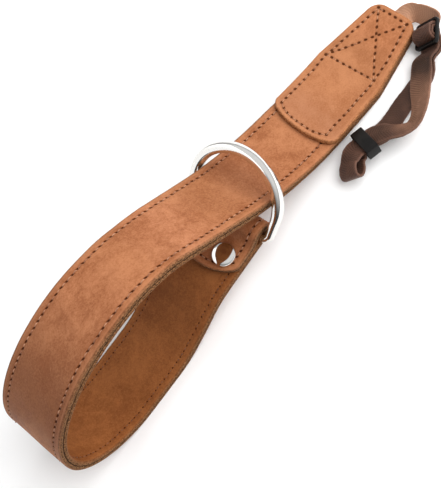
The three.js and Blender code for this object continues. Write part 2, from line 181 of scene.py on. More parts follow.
def walkFold(start, sections, stride=0.25):
    walked, last = [], start
    for length, bend in sections:
        steps = max(1, ceil(length / stride))
        turn = radians(-bend / steps)
        for _ in range(steps):
            heading = turned(last["forward"], last["across"], turn / 2)
            forward = turned(last["forward"], last["across"], turn)
            last = {**last, "travel": last["travel"] + length / steps,
                    "centre": last["centre"] + heading * length / steps,
                    "forward": forward, "out": np.cross(forward, last["across"])}
            walked.append(last)
    return walked


# The straight rise is as long as brings the lower run back down to the surface.
straightRise = next(s for s in bandSections if s["part"] == "straight rise")
_, reached = walkBand(bandSections)
shortfall = bandThickness / 2 - reached["lower run flat on the surface"]["centre"][2]
straightRise["length"] = shortfall / sin(radians(reached["straight rise"]["pitch"]))
walked, reached = walkBand(bandSections)
fold = walked[-1]  # its beginning
walked += walkFold(fold, foldSections)
travels = np.array([w["travel"] for w in walked])
bandLength = travels[-1]
bandLine = {key: np.array([w[key] for w in walked]) for key in ("centre", "across", "out")}


def onBand(u, v, h):
    # the point at travel u, across v and height h over the band's middle line
    u, v, h = np.broadcast_arrays(np.asarray(u, float), v, h)
    at = {key: np.stack([np.interp(u, travels, line[:, k]) for k in range(3)], -1)
          for key, line in bandLine.items()}
    return at["centre"] + at["across"] * v[..., None] + at["out"] * h[..., None]


def endHalf(u):
    part = np.clip(np.asarray(u, float) / band["taper"], 0, 1)
    return (band["endWidth"] + (band["width"] - band["endWidth"]) * part) / 2


# The shift from here to the frame comes from the leather's box there.
def bandShift():
    u = np.linspace(0, bandLength, 1800)
    u, v, h = np.meshgrid(u, (-1, 1), (innerFace, outerFace), indexing="ij")
    corner = np.minimum(endHalf(u) - band["endCorner"] * (u < 1), halfBand)
    bow = np.clip((bandLength - u) / band["tabBulge"], 0, 1) ** band["bowRoot"]
    own = onBand(u, v * np.minimum(corner, bow * halfBand), h).reshape(-1, 3)
    lows, highs = zip(*(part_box(node) for node in ("outer_leather", "lining_leather")))
    low = np.min(lows, 0) / mm
    high = np.max(highs, 0) / mm
    return (low - own.min(0) + high - own.max(0)) / 2


shift = bandShift()
print("band length", round(bandLength, 1), "shift", shift.round(3))


def smooth(value, low, high):
    t = np.clip((value - low) / (high - low), 0, 1)
    return t * t * (3 - 2 * t)


def distancesAlong(points):
    return np.concatenate([[0], np.cumsum(norm(np.diff(points, axis=0), axis=1))])


def anglesRound(count):
    return np.linspace(0, 2 * pi, count, endpoint=False)


def swell(u, v, size, waves=14, sizes=(0.7, 1.9), lastPhase=6.28):
    # gentle unevenness, about -1 to 1, with bumps of about the size given
    total = np.zeros(np.broadcast(u, v).shape)
    for _ in range(waves):
        angle = rng.uniform(0, pi)
        pace = 2 * pi / (size * rng.uniform(*sizes))
        total += np.cos(pace * (u * cos(angle) + v * sin(angle)) + rng.uniform(0, lastPhase))
    return total / sqrt(waves)


def linked(name, data):
    made = bpy.data.objects.new(name, data)
    bpy.context.scene.collection.objects.link(made)
    return made


def addPiece(name, points, faces, material, body="strap", replaces=(), attributes=None):
    mesh = bpy.data.meshes.new(name)
    mesh.from_pydata((np.asarray(points) + shift) * mm, [], faces)
    mesh.validate()
    shell = bmesh.new()
    shell.from_mesh(mesh)
    bmesh.ops.recalc_face_normals(shell, faces=shell.faces)
    shell.to_mesh(mesh)
    shell.free()
    for key, values in (attributes or {}).items():
        kind, part = ("FLOAT_VECTOR", "vector") if values.ndim == 2 else ("FLOAT", "value")
        field = mesh.attributes.new(key, kind, "POINT")
        field.data.foreach_set(part, values.astype(np.float32).ravel())
    mesh.shade_smooth()
    mesh.materials.append(material)
    piece = linked(name, mesh)
    if replaces:
        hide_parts(*replaces)
    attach(piece, body)
    triangles = sum(len(polygon.vertices) - 2 for polygon in mesh.polygons)
    print("piece", name, triangles, "triangles")
    return piece


def gridFaces(rows, columns, closed=False):
    r, c = np.indices((rows - 1, columns if closed else columns - 1))
    a = r * columns + c
    b = r * columns + (c + 1) % columns
    return np.stack([a, b, b + columns, a + columns], -1).reshape(-1, 4).tolist()


def tubeFaces(rows, sides):
    # a tube with a face over each end
    caps = [list(range(sides))[::-1], [(rows - 1) * sides + k for k in range(sides)]]
    return gridFaces(rows, sides, closed=True) + caps


class Wire:
    # a node's output that can be used in sums

    def __init__(self, finish, socket):
        self.finish = finish
        self.socket = socket

    def sum(self, operation, *values):
        return self.finish.node("Math", {"operation": operation}, dict(enumerate(values)))

    def __add__(self, other):
        return self.sum("ADD", self, other)

    def __sub__(self, other):
        return self.sum("SUBTRACT", self, other)

    def __rsub__(self, other):
        return self.sum("SUBTRACT", other, self)

    def __mul__(self, other):
        return self.sum("MULTIPLY", self, other)

    def __truediv__(self, other):
        return self.sum("DIVIDE", self, other)

    def __abs__(self):
        return self.sum("ABSOLUTE", self)

    __radd__ = __add__
    __rmul__ = __mul__

    def larger(self, other):
        return self.sum("MAXIMUM", self, other)

    def sine(self):
        return self.sum("SINE", self)

    def step(self, low, high):
        # 0 below low, 1 above high, smooth between
        limits = {"Value": self, "From Min": low, "From Max": high}
        return self.finish.node("MapRange", {"interpolation_type": "SMOOTHSTEP"}, limits)


class Finish:
    # a material; keywords name the shader's sockets, with _ for a space
    kind = "materials"
    shaderNode = "Principled BSDF"

    def __init__(self, name, **shader):
        self.made = getattr(bpy.data, self.kind).new(name)
        self.made.use_nodes = True
        self.tree = self.made.node_tree
        self.shader = self.tree.nodes[self.shaderNode]
        for socket, value in shader.items():
            self.shader.inputs[socket.replace("_", " ")].default_value = value

    def node(self, kind, settings=None, inputs=None, output=0):
        made = self.tree.nodes.new("ShaderNode" + kind)
        for key, value in (settings or {}).items():
            setattr(made, key, value)
        for key, value in (inputs or {}).items():
            if isinstance(value, Wire):
                self.tree.links.new(value.socket, made.inputs[key])
            else:
                made.inputs[key].default_value = value
        return Wire(self, made.outputs[output])

    def field(self, name, output="Fac"):
        return self.node("Attribute", {"attribute_name": name}, output=output)

    def stretched(self, vector, stretch):
        return self.node("VectorMath", {"operation": "MULTIPLY"}, {0: vector, 1: stretch})

    def place(self, stretch=(1, 1, 1)):
        # travel, across and height on the strap
        return self.stretched(self.field("place", "Vector"), stretch)

    def parts(self, vector, *which):
        return [self.node("SeparateXYZ", {}, {0: vector}, output=k) for k in which]

    def noise(self, vector, scale, detail=3, rough=0.55, distortion=0):
        return self.node("TexNoise", {}, {"Vector": vector, "Scale": scale, "Detail": detail,
                                          "Roughness": rough, "Distortion": distortion})

    def mix(self, factor, a, b, blend="MIX"):
        asColour = [value if isinstance(value, Wire) else (*value, 1) for value in (a, b)]
        return self.node("Mix", {"data_type": "RGBA", "blend_type": blend},
                         {0: factor, 6: asColour[0], 7: asColour[1]}, output=2)

    def toned(self, colour, travel, tones, full, share):
        # tones are the middle travel of each, its spread and what the colour is multiplied by
        for centre, spread, tone in tones:
            near = (1 - abs(travel - centre) / spread).step(0.0, full) * share
            colour = self.mix(near, colour, tone, "MULTIPLY")
        return colour

    def bumps(self, *layers):
        # each layer is its height, depth and strength, and lies on the one before
        normal = None
        for height, depth, strength in layers:
            inputs = {"Height": height, "Distance": depth * mm, "Strength": strength}
            if normal:
                inputs["Normal"] = normal
            normal = self.node("Bump", {}, inputs)
        return normal

    def set(self, **links):
        for socket, wire in links.items():
            self.tree.links.new(wire.socket, self.shader.inputs[socket.replace("_", " ")])
        print("finish", self.made.name)
        return self.made


def leatherFinish(name, deep, middle, light, edgeTone, split, paintedLightAndShade=(), rough=0.58, gloss=0.3):
    finish = Finish(name, Specular_IOR_Level=gloss)
    place = finish.place()
    cloud = finish.noise(place, 0.05, 3, 0.55, 0.5)
    blotch = finish.noise(place, 0.24, 5, 0.7, 0.4)
    speck = finish.noise(place, 1.4, 4, 0.75)
    colour = finish.mix((cloud * 0.34 + blotch * 0.28 + speck * 0.38).step(0.37, 0.63), deep, light)
    colour = finish.mix(0.28, colour, middle)
    # fine scuffs run in two loose directions
    lines = []
    for stretch, turn in (((0.10, 2.6, 1), 0.35), ((0.14, 3.2, 1), -0.8)):
        rotated = finish.node("VectorRotate", {"rotation_type": "Z_AXIS"}, {"Vector": place, "Angle": turn})
        lines.append(finish.noise(finish.stretched(rotated, stretch), 0.55, 4, 0.7).step(0.60, 0.72))
    scuffs = lines[0].larger(lines[1]) * blotch.step(0.4, 0.62)
    colour = finish.mix(scuffs * 0.75, colour, light)
    travel, height = finish.parts(place, 0, 2)
    uneven = (blotch * 0.6 + cloud * 0.4).step(0.25, 0.6)
    # painted light and shade: the listed tones lighten or darken stretches of the travel, in blotches
    colour = finish.toned(colour, travel, paintedLightAndShade, 1.0, uneven)
    # a thin painted highlight runs beside the burnished rim, and the cut wall is raw and fibrous
    rim = finish.field("rim")
    colour = finish.mix(rim.step(0.6, 1.0) * (1 - rim.step(1.1, 1.9)) * 0.3, colour, light)
    raw = finish.field("raw").step(0.25, 0.75)
    grit = finish.noise(place, 1.5, 4, 0.8)
    fibre = finish.noise(finish.place((0.5, 0.8, 2.4)), 1.4, 5, 0.78) * 0.45 + grit * 0.55
    edge = finish.mix(fibre.step(0.43, 0.57), edgeTone[0], edgeTone[1])
    # the joint between two layers is dark
    joint = 1 - (abs(height - split) + (fibre - 0.5) * 0.5).step(0.10, 0.42)
    edge = finish.mix(joint * 0.65, edge, tuple(0.35 * c for c in edgeTone[0]))
    burnish = (1 - rim.step(0.25, 0.9)) * 0.6
    colour = finish.mix(raw.larger(burnish), colour, edge)
    # painted shade: needle holes are dark inside, and the face is a little darker in a ring round them
    hole = finish.field("hole") + (speck - 0.5) * 0.3
    pierced = 1 - hole.step(0.7, 1.15)
    colour = finish.mix((1 - hole.step(0.8, 2.0)) * 0.35, colour, deep)
    colour = finish.mix(pierced * 0.95, colour, (0.26 * deep[0], 0.20 * deep[1], 0.14 * deep[2]))
    pores = finish.node("TexVoronoi", {"feature": "DISTANCE_TO_EDGE"},
                        {"Vector": place, "Scale": 1.15, "Randomness": 1.0})
    grain = pores.step(0.0, 0.22)
    fine = finish.noise(place, 3.2, 4, 0.7)
    normal = finish.bumps((grain, 0.03, 0.5), (fine, 0.05, 0.5), (fibre * raw, 0.22, 0.9),
                          (scuffs, 0.03, 0.4))
    roughness = rough + (blotch - 0.5) * 0.2 + raw.larger(pierced) * 0.35 - scuffs * 0.06
    return finish.set(Base_Color=colour, Roughness=roughness, Normal=normal)


def threadFinish(name, dark, light):
    finish = Finish(name, Specular_IOR_Level=0.4)
    place = finish.place()
    fuzz = finish.noise(place, 4.0, 3, 0.7)
    tone = finish.noise(place, 0.5, 2)
    colour = finish.mix(tone.step(0.35, 0.65), dark, light)
    colour = finish.mix(fuzz.step(0.4, 0.8) * 0.3, colour, tuple(0.6 * c for c in dark))
    return finish.set(Base_Color=colour, Roughness=0.6 + (fuzz - 0.5) * 0.3,
                      Normal=finish.bumps((fuzz, 0.05, 0.7)))


tanLeather = leatherFinish(
    "oiled_tan_leather",
    deep=(0.205, 0.063, 0.021), middle=(0.315, 0.110, 0.042), light=(0.445, 0.188, 0.086),
    edgeTone=((0.036, 0.017, 0.007), (0.270, 0.128, 0.056)),
    split=layerSplit,
    # painted shade on the tip of the loop, beside the ring and on the shoulder, and painted light on the
    # crown and on the loop's low end where the floor throws light back
    paintedLightAndShade=((220, 28, (0.64, 0.57, 0.50)), (258, 24, (1.4, 1.4, 1.05)), (98, 17, (0.82, 0.79, 0.82)),
             (180, 32, (1.09, 1.08, 1.10)), (144, 20, (1.14, 1.16, 1.26)), (117, 16, (0.88, 0.87, 0.84))),
    gloss=0.12,
)
liningLeather = leatherFinish(
    "brown_lining_leather",
    deep=(0.145, 0.043, 0.011), middle=(0.222, 0.072, 0.019), light=(0.310, 0.112, 0.034),
    edgeTone=((0.040, 0.018, 0.008), (0.280, 0.130, 0.056)),
    split=layerSplit, rough=0.7, gloss=0.1,
)
patchLeather = leatherFinish(
    "orange_tan_leather",
    deep=(0.265, 0.090, 0.031), middle=(0.355, 0.131, 0.051), light=(0.470, 0.200, 0.090),
    edgeTone=((0.16, 0.058, 0.019), (0.50, 0.210, 0.080)),
    split=outerFace + 0.1, gloss=0.15,
    # painted shade towards the patch's tip and painted light near the tail's end
    paintedLightAndShade=((58, 16, (0.87, 0.88, 0.95)), (10, 14, (1.10, 1.06, 1.06))),
)
tanThread = threadFinish("tan_thread", (0.24, 0.090, 0.040), (0.46, 0.230, 0.130))
liningThread = threadFinish("lining_thread", (0.10, 0.034, 0.013), (0.18, 0.066, 0.026))
patchThread = threadFinish("patch_thread", (0.30, 0.120, 0.054), (0.48, 0.235, 0.125))

# Stitch lines are lists of points in travel and across, with a hole at both ends. The near side's line
# stands further in than the far side's on the tail.
stitch = {
    "pitch": 2.9,
    "uneven": 0.06,
    "tipInset": 2.4,  # patch tip
    "tabInset": 3.1,
    "farInset": 3.2,
    "nearInset": 5.0,  # at its greatest
    "tabNearInset": 3.3,
    "thread": 0.24,  # radius
    "flatness": 0.92,
    "strands": 3,
    "strandDepth": 0.13,
    "twist": 2.6,  # how far the strands turn along a stitch, in radians
    "rise": -0.02,  # how far its middle stands over the leather at the top
    "liningRise": -0.15,  # the threads lie low where the ring's bar turns in the fold
    "unevenRise": 0.025,
    "dive": 1.0,
}
# inset of the near side's line at these travels
insetTravels = (3, 20, 32, 60, 80, 136)
nearInsets = (3.8, stitch["tabNearInset"], 4.3, stitch["nearInset"], 4.5, stitch["tabNearInset"])
# Needle holes are slits: half the width, length over width, and the turn from the line.
slits = {
    "outer": {"half": 0.46, "ratio": 2.1, "slant": -20.0},
    "lining": {"half": 0.30, "ratio": 1.4, "slant": 0.0},
    "patch": {"half": 0.60, "ratio": 1.45, "slant": -8.0},
}


def insetAt(u, side):
    return np.where(side > 0, np.interp(u, insetTravels, nearInsets), stitch["farInset"])


def edgeLine(start, stop, side, count=900):
    u = np.linspace(start, stop, count)
    return np.stack([u, side * (endHalf(u) - insetAt(u, side))], -1)


def tipLine(length, bulge, inset, far, near, count=60):
    # round a bowed tip, inset from its outline
    v = np.linspace(-far, near, count)
    u = length - inset - bulge * np.abs(v / halfBand) ** band["bowPower"]
    edge = np.where(v > 0, v / near, -v / far)
    cornerDrop, cornerStart = 0.9, 0.72
    u -= cornerDrop * smooth(edge, cornerStart, 1.0)
    return np.stack([u, v], -1)


def holesAlong(line):
    line = np.asarray(line, float)
    lengths = distancesAlong(line)
    count = max(1, round(lengths[-1] / stitch["pitch"]))
    at = np.linspace(0, lengths[-1], count + 1)
    return np.stack([np.interp(at, lengths, line[:, k]) for k in range(2)], -1)


def stitchesOf(lines):
    # each stitch as its two holes
    pairs = []
    for line in lines:
        holes = holesAlong(line)
        holes[1:-1] += rng.normal(0, stitch["uneven"], holes[1:-1].shape)
        pairs.append(np.stack([holes[:-1], holes[1:]], 1))
    return np.concatenate(pairs)


patchTip = tipLine(patch["length"], patch["bulge"], stitch["tipInset"],
                   halfBand - stitch["farInset"], halfBand - stitch["nearInset"])
# the box that is sewn over the webbing's end, and its two diagonals
boxFar, boxNear = [(2.4, -7.8), (31.0, -13.0)], [(2.6, 7.1), (29.6, 11.2)]
patchLines = [
    edgeLine(boxFar[0][0], boxFar[1][0], -1), edgeLine(boxNear[0][0], boxNear[1][0], 1),
    [boxFar[0], boxNear[0]], [boxFar[1], boxNear[1]], [boxFar[0], boxNear[1]], [boxNear[0], boxFar[1]],
    edgeLine(boxFar[1][0], patchTip[0][0], -1), edgeLine(boxNear[1][0], patchTip[-1][0], 1), patchTip,
]
tabTip = tipLine(bandLength, band["tabBulge"], stitch["tabInset"],
                 halfBand - stitch["farInset"], halfBand - stitch["tabNearInset"])
outerLines = [
    tabTip, edgeLine(patchTip[0][0], tabTip[0][0], -1), edgeLine(patchTip[-1][0], tabTip[-1][0], 1),
]
stitches = {"patch": stitchesOf(patchLines), "outer": stitchesOf(outerLines)}
stitches["lining"] = np.concatenate([stitches["patch"], stitches["outer"]])

leather = {
    "rowStep": 0.33,
    "fineWidth": 0.9,  # columns lie close together this far on both sides of a stitch line
    "fineColumns": 9,
    "rimRadius": 0.35,
    "swell": 0.10,
    "swellSize": 16,
    "swellStart": 4,  # the unevenness dies out over this to the rim
    "seamDepth": 0.10,  # the thread draws the face in along its line
    "seamWidth": 0.6,
    "holeDepth": 0.38,
    "holeWall": (0.3, 1.1),  # from bottom to top, as shares of the hole's size
    "ragged": 0.035,  # unevenness of the cut wall
    "farHole": 6.0,  # as far as a hole and a line are ever counted
    "farLine": 3.0,
}
# The rim turns over in rows at these distances from the outline.
endRows = [0, 0.05, 0.16, 0.34, 0.6, 1.0, 1.5, 2.0]
rimColumns = [0, 0.05, 0.16, 0.34, 0.6, 1.1, 1.65]
# The cut wall: the share of the way down, and how far it stands out there.
wallRows = ((0.22, 0.035), (0.5, 0.05), (0.76, 0.03), (0.91, -0.06), (1.0, -0.26))


def nearStitch(u, v, layer, chunk=3000, reach=4):
    # distance to the nearest needle hole, 1 at its edge, and to the nearest stitch
    pairs, slit = stitches[layer], slits[layer]
    hole, line = np.full(len(u), leather["farHole"]), np.full(len(u), leather["farLine"])
    c, s = cos(radians(slit["slant"])), sin(radians(slit["slant"]))
    for start in range(0, len(u), chunk):
        part = slice(start, start + chunk)
        low, high = u[part].min() - reach, u[part].max() + reach
        close = pairs[(pairs[:, :, 0].max(1) > low) & (pairs[:, :, 0].min(1) < high)]
        if not len(close):
            continue
        p = np.stack([u[part], v[part]], -1)[:, None]
        a, b = close[None, :, 0], close[None, :, 1]
        ab = b - a
        length = norm(ab, axis=-1)
        t = ((p - a) * ab).sum(-1) / length
        off = ((p[..., 0] - a[..., 0]) * ab[..., 1] - (p[..., 1] - a[..., 1]) * ab[..., 0]) / length
        beyond = np.maximum(np.maximum(-t, t - length), 0)
        line[part] = np.hypot(off, beyond).min(1)
        # the slits at both ends are turned out of the line of the stitch
        for run in (t, t - length):
            away = np.hypot(off * c + run * s, (run * c - off * s) / slit["ratio"]).min(1)
            hole[part] = np.minimum(hole[part], away / slit["half"])
    return np.minimum(hole, leather["farHole"]), np.minimum(line, leather["farLine"])


def cornered(a, e, radius):
    # turns a square corner into a round one: distances from the end and the side, and from the outline
    x, y = 1 - a / radius, 1 - e / radius
    inside = (x > 0) & (y > 0)
    x, y = np.where(inside, x, 0), np.where(inside, y, 0)
    discX, discY = x * np.sqrt(1 - y * y / 2), y * np.sqrt(1 - x * x / 2)
    newA = np.where(inside, radius * (1 - discX), a)
    newE = np.where(inside, radius * (1 - discY), e)
    depth = np.where(inside, radius * (1 - np.hypot(discX, discY)), np.minimum(a, e))
    return newA, newE, depth


def leatherPiece(name, node, shape, visible, hidden, layer, material, inner=8, extra=None,
                 rimRadius=leather["rimRadius"]):
    length, bulge, tipCorner = shape
    up = 1 if visible > hidden else -1
    rowStep, wide = leather["rowStep"], leather["fineWidth"]
    s = np.concatenate([endRows, np.arange(endRows[-1] + rowStep, length - endRows[-1], rowStep),
                        length - np.array(endRows[::-1])])
    # columns by their distance from each side, close together along the stitches
    sides = []
    for side in (-1, 1):
        fine = insetAt(s, side)[:, None] + np.linspace(-wide, wide, leather["fineColumns"])
        last = fine[:, -1:] + 0.5
        rest = last + (endHalf(s)[:, None] - last) * np.linspace(0, 1, inner + 1)
        rims = np.broadcast_to(rimColumns, (len(s), len(rimColumns)))
        sides.append(np.concatenate([rims, fine, rest], 1))
    e = np.concatenate([sides[0], sides[1][:, -2::-1]], 1)
    columns = e.shape[1]
    side = np.where(np.arange(columns) < columns // 2, -1.0, 1.0)
    a, eA, depthA = cornered(s[:, None] + 0 * e, e, band["endCorner"])
    z, eZ, depthZ = cornered(length - s[:, None] + 0 * e, e, tipCorner)
    nearTail = s[:, None] < length / 2
    e = np.where(nearTail, eA, eZ)
    rim = np.where(nearTail, depthA, depthZ)
    rim = np.minimum(rim, np.minimum(s, length - s)[:, None])
    u = np.where(nearTail, a, length - z)
    v = side * np.maximum(endHalf(u) - e, 0)
    bow = bulge * np.abs(v / halfBand) ** band["bowPower"]
    bowFade = 14
    u = u - bow * (1 - smooth(length - s, 0, bowFade))[:, None]
    hole, line = (x.reshape(u.shape) for x in nearStitch(u.ravel(), v.ravel(), layer))
    drop = rimRadius * (1 - np.sqrt(1 - np.clip(1 - rim / rimRadius, 0, 1) ** 2))
    relief = swell(u, v, leather["swellSize"]) * leather["swell"] * smooth(rim, 0, leather["swellStart"])
    relief -= leather["seamDepth"] * np.exp(-(line / leather["seamWidth"]) ** 2)
    relief -= leather["holeDepth"] * (1 - smooth(hole, *leather["holeWall"]))
    if extra:
        relief = relief + extra(u, v)
    top = visible + up * (relief - drop)
    rows = len(s)
    table = [np.stack([u, v, top, rim, 0 * rim, hole], -1).reshape(-1, 6)]
    faces = gridFaces(rows, columns)
    # the wall goes round the outline in one loop and down to the hidden face
    outline = np.concatenate([
        np.arange(columns), np.arange(1, rows) * columns + columns - 1,
        (rows - 1) * columns + np.arange(columns - 2, -1, -1), np.arange(rows - 2, 0, -1) * columns,
    ])
    flat, wallTop = table[0][outline, :2], table[0][outline, 2]
    tangent = unit(np.roll(flat, -1, 0) - np.roll(flat, 1, 0))
    outward = np.stack([-tangent[:, 1], tangent[:, 0]], -1)
    count = len(outline)
    ragged = rng.normal(0, leather["ragged"], count)
    ragged = (ragged + np.roll(ragged, 1) + np.roll(ragged, -1)) / 2
    offset = rim.size
    previous = outline
    for share, standsOut in wallRows:
        wobble = standsOut + (ragged if share < 0.9 else 0 * ragged)
        height = wallTop + (hidden - wallTop) * share
        known = np.broadcast_to((0, 1, leather["farHole"]), (count, 3))
        table.append(np.concatenate([flat + outward * wobble[:, None], height[:, None], known], 1))
        current = offset + np.arange(count)
        faces += np.stack([previous, current, np.roll(current, -1), np.roll(previous, -1)], -1).tolist()
        previous = current
        offset += count
    # the hidden face: strips from side to side, and one face at each end
    under = previous.tolist()
    right = under[columns - 1:columns + rows - 1]
    left = under[:1] + under[:-rows:-1]
    faces += [[left[k], left[k + 1], right[k + 1], right[k]] for k in range(1, rows - 2)]
    faces.append([*under[:columns], right[1], left[1]])
    faces.append([*under[columns + rows - 2:2 * columns + rows - 2], left[rows - 2], right[rows - 2]])
    place, rim, raw, hole = np.split(np.concatenate(table), (3, 4, 5), axis=1)
    addPiece(name, onBand(*place.T), faces, material, replaces=[node],
             attributes={"rim": rim[:, 0], "raw": raw[:, 0], "hole": hole[:, 0], "place": place})


def threadPiece(layer, height, up, rise, material, sides=9, rings=9):
    t = np.linspace(0, 1, rings)
    angle = anglesRound(sides)
    places, faces = [], []
    for a, b in stitches[layer]:
        length = norm(b - a)
        direction = (b - a) / length
        across = np.array([-direction[1], direction[0]])
        lift = rng.normal(0, stitch["unevenRise"])
        centre = a + (b - a) * t[:, None]
        arch = -stitch["dive"] + (stitch["dive"] + rise + lift) * np.sin(pi * t)
        turn = angle[None, :] - t[:, None] * stitch["twist"]
        radius = stitch["thread"] * (1 + stitch["strandDepth"] * np.cos(stitch["strands"] * turn))
        sideways = radius * np.cos(angle)
        over = radius * np.sin(angle) * stitch["flatness"]
        u = centre[:, :1] + across[0] * sideways
        v = centre[:, 1:] + across[1] * sideways
        h = height + up * (arch[:, None] + over)
        offset = len(places) * rings * sides
        places.append(np.stack([u, v, h], -1).reshape(-1, 3))
        faces += [[offset + i for i in face] for face in tubeFaces(rings, sides)]
    place = np.concatenate(places)
    addPiece("stitches_" + layer, onBand(*place.T), faces, material, attributes={"place": place})


def overWebbing(u, v):
    # the patch swells a little over the webbing that is sewn under it
    where = patch["swollen"]
    share = 1 - smooth(u, *where["toEnd"])
    share *= 1 - smooth(np.abs(v - where["across"]), *where["toSide"])
    share *= smooth(u, *where["fromTail"])
    return patch["swelling"] * share


bandShape = (bandLength, band["tabBulge"], band["tabCorner"])
patchShape = (patch["length"], patch["bulge"], patch["corner"])
leatherPiece("band_outer", "outer_leather", bandShape, outerFace, layerSplit + band["splitGap"],
             "outer", tanLeather)
leatherPiece("band_lining", "lining_leather", bandShape, innerFace, layerSplit - band["splitGap"],
             "lining", liningLeather)
leatherPiece("patch_leather", "end_patch", patchShape, patchFace, outerFace + patch["lift"],
             "patch", patchLeather, 26, overWebbing, patch["rimRadius"])
threadPiece("outer", outerFace, 1, stitch["rise"], tanThread)
threadPiece("lining", innerFace, -1, stitch["liningRise"], liningThread)
threadPiece("patch", patchFace, 1, stitch["rise"], patchThread)


def sweptPiece(name, stations, section, closed, material, body, nodes, attributes=None):
    # stations are (centre, x direction, y direction); the section is a loop of x and y
    centre, xWay, yWay = np.array(stations).transpose(1, 0, 2)[:, :, None]
    points = centre + xWay * section[..., :1] + yWay * section[..., 1:]
    rows, columns = points.shape[:2]
    faces = tubeFaces(rows, columns)
    if closed:
        last = (rows - 1) * columns
        faces[-2:] = [[last + k, last + (k + 1) % columns, (k + 1) % columns, k] for k in range(columns)]
    addPiece(name, points.reshape(-1, 3), faces, material, body, nodes, attributes)


def metalFinish(name, colour, rough):
    finish = Finish(name, Metallic=1.0)
    position = finish.node("TexCoord", output="Object")
    cloudy = finish.noise(position, 260, 3)
    hairline = finish.noise(position, 1900, 4, 0.7)
    tarnish = cloudy.step(0.55, 0.8)
    tone = finish.mix(tarnish * 0.25, colour, tuple(0.72 * c for c in colour))
    return finish.set(Base_Color=tone, Roughness=rough + tarnish * 0.10 + hairline * 0.05,
                      Normal=finish.bumps((cloudy, 0.05, 0.25), (hairline, 0.006, 0.3)))


nickel = metalFinish("polished_nickel", (0.80, 0.785, 0.76), 0.07)


def superCircle(radius, power, count):
    angle = anglesRound(count)
    c, s = np.cos(angle), np.sin(angle)
    x = np.sign(c) * np.abs(c) ** (2 / power)
    y = np.sign(s) * np.abs(s) ** (2 / power)
    return radius * np.stack([x, y], -1)


def ringPiece():
    upward = -fold["out"]
    bar = fold["centre"] + upward * foldRadius - fold["across"] * ring["shift"]
    tilt = radians(ring["tilt"])
    rise = fold["forward"] * cos(tilt) + upward * sin(tilt)
    side = np.cross(rise, fold["across"])
    half, corner, leg = ring["halfWidth"], ring["corner"], ring["leg"]

    def arc(cx, cy, radius, start, stop, steps):
        angles = np.radians(np.linspace(start, stop, steps))
        return [(cx + radius * cos(a), cy + radius * sin(a), a) for a in angles]

    path = arc(half - corner, corner, corner, -90, 0, ring["cornerSteps"])
    path += arc(0, leg, half, 0, 180, ring["bowSteps"])
    path += arc(corner - half, corner, corner, 180, 270, ring["cornerSteps"])
    stretch = np.linspace(corner - half, half - corner, ring["barSteps"])[1:-1]
    path += [(x, 0, -pi / 2) for x in stretch]
    height = np.array([y for _, y, _ in path])
    size = 1 + (ring["bowSize"] - 1) * smooth(height, corner, leg + half / 2)
    stations = []
    for (x, y, angle), grown in zip(path, size - 1):
        # what the wire grows by lies outside the bow
        outward = fold["across"] * cos(angle) + rise * sin(angle)
        centre = bar + fold["across"] * x + rise * y + outward * grown * ring["wire"] / 2
        stations.append((centre, outward, side))
    section = size[:, None, None] * superCircle(ring["wire"] / 2, ring["squareness"], ring["sides"])
    sweptPiece("ring", stations, section, True, nickel, "ring", ["d_ring"])


ringPiece()

rivet = {
    "cap": 10.0,  # diameter
    "height": 2.3,
    "lip": 0.34,  # straight part under the dome
    "roundness": (0.72, 0.78),
    # the cap on the other side: share of the radius, and depth under the leather
    "foot": ((0.72, 0.9), (0.86, 0.62), (0.9, 0.3), (0.88, 0)),
    "post": 3.2,
    "spacing": 16.0,
    "fromBar": 14.4,
    "sides": 72,
}


def rivetPiece(name, node, side):
    upward = -fold["out"]
    base = fold["centre"] - fold["forward"] * rivet["fromBar"]
    base = base + fold["across"] * side * rivet["spacing"] / 2 - upward * bandThickness / 2
    bottom, top = -band["gap"], 2 * (bandThickness + band["gap"])
    radius, lip, post, sides = rivet["cap"] / 2, rivet["lip"], rivet["post"] / 2, rivet["sides"]
    wide, high = rivet["roundness"]
    # the turned outline, as radius and height: lower cap, post, upper cap and dome
    profile = [(radius * share, bottom - depth) for share, depth in rivet["foot"]]
    profile += [(post, bottom), (post, top), (radius * 0.93, top), (radius * 0.985, top + 0.1)]
    profile += [(radius * cos(a) ** wide, top + lip + (rivet["height"] - lip) * sin(a) ** high)
                for a in np.radians(np.linspace(0, 89, 22))]
    r, h = np.array(profile).T
    angle = anglesRound(sides)
    ringed = fold["forward"] * np.cos(angle)[:, None] + fold["across"] * np.sin(angle)[:, None]
    points = base + ringed[None] * r[:, None, None] + upward * h[:, None, None]
    addPiece(name, points.reshape(-1, 3), tubeFaces(len(profile), sides), nickel,
             replaces=[node])


for place, side in (("near", 1), ("far", -1)):
    rivetPiece("rivet_cap_" + place, "rivet_" + place, side)

# The webbing runs from its sewn end through the slider and keeper to its eye, and back to its free end.
web = {
    "width": 10.0,
    "thickness": 1.0,
    "groove": 21.0,  # its reach under the patch
    "cord": 0.62,  # width of a warp cord
    "pick": 1.1,  # length of one weave along the travel
    "relief": 0.03,
    "edge": 0.07,  # share of the half width that is rounded
    "waviness": 0.006,
    "wavePace": 2.3,
    "rowStep": 0.3,
}
slider = {"x": -2.6, "y": -17.0, "z": 6.7, "heading": 214, "lean": 42,
          "width": 12.2, "bar": 2.0, "slot": 3.3, "rail": 1.4, "thickness": 1.8,
          "corner": 1.6, "slotCorner": 0.5, "clearance": 0.4, "edgeRadius": 0.42}
keeper = {"x": -53.2, "y": -24.0, "z": 6.3, "heading": 164, "lean": 22, "length": 5.6, "wall": 1.1,
          "corner": 1.2, "innerCorner": 0.3, "clearance": 0.8, "edgeRadius": 0.38}
eye = {"x": -66, "y": -27, "z": 6.5, "heading": 215, "lean": 40}


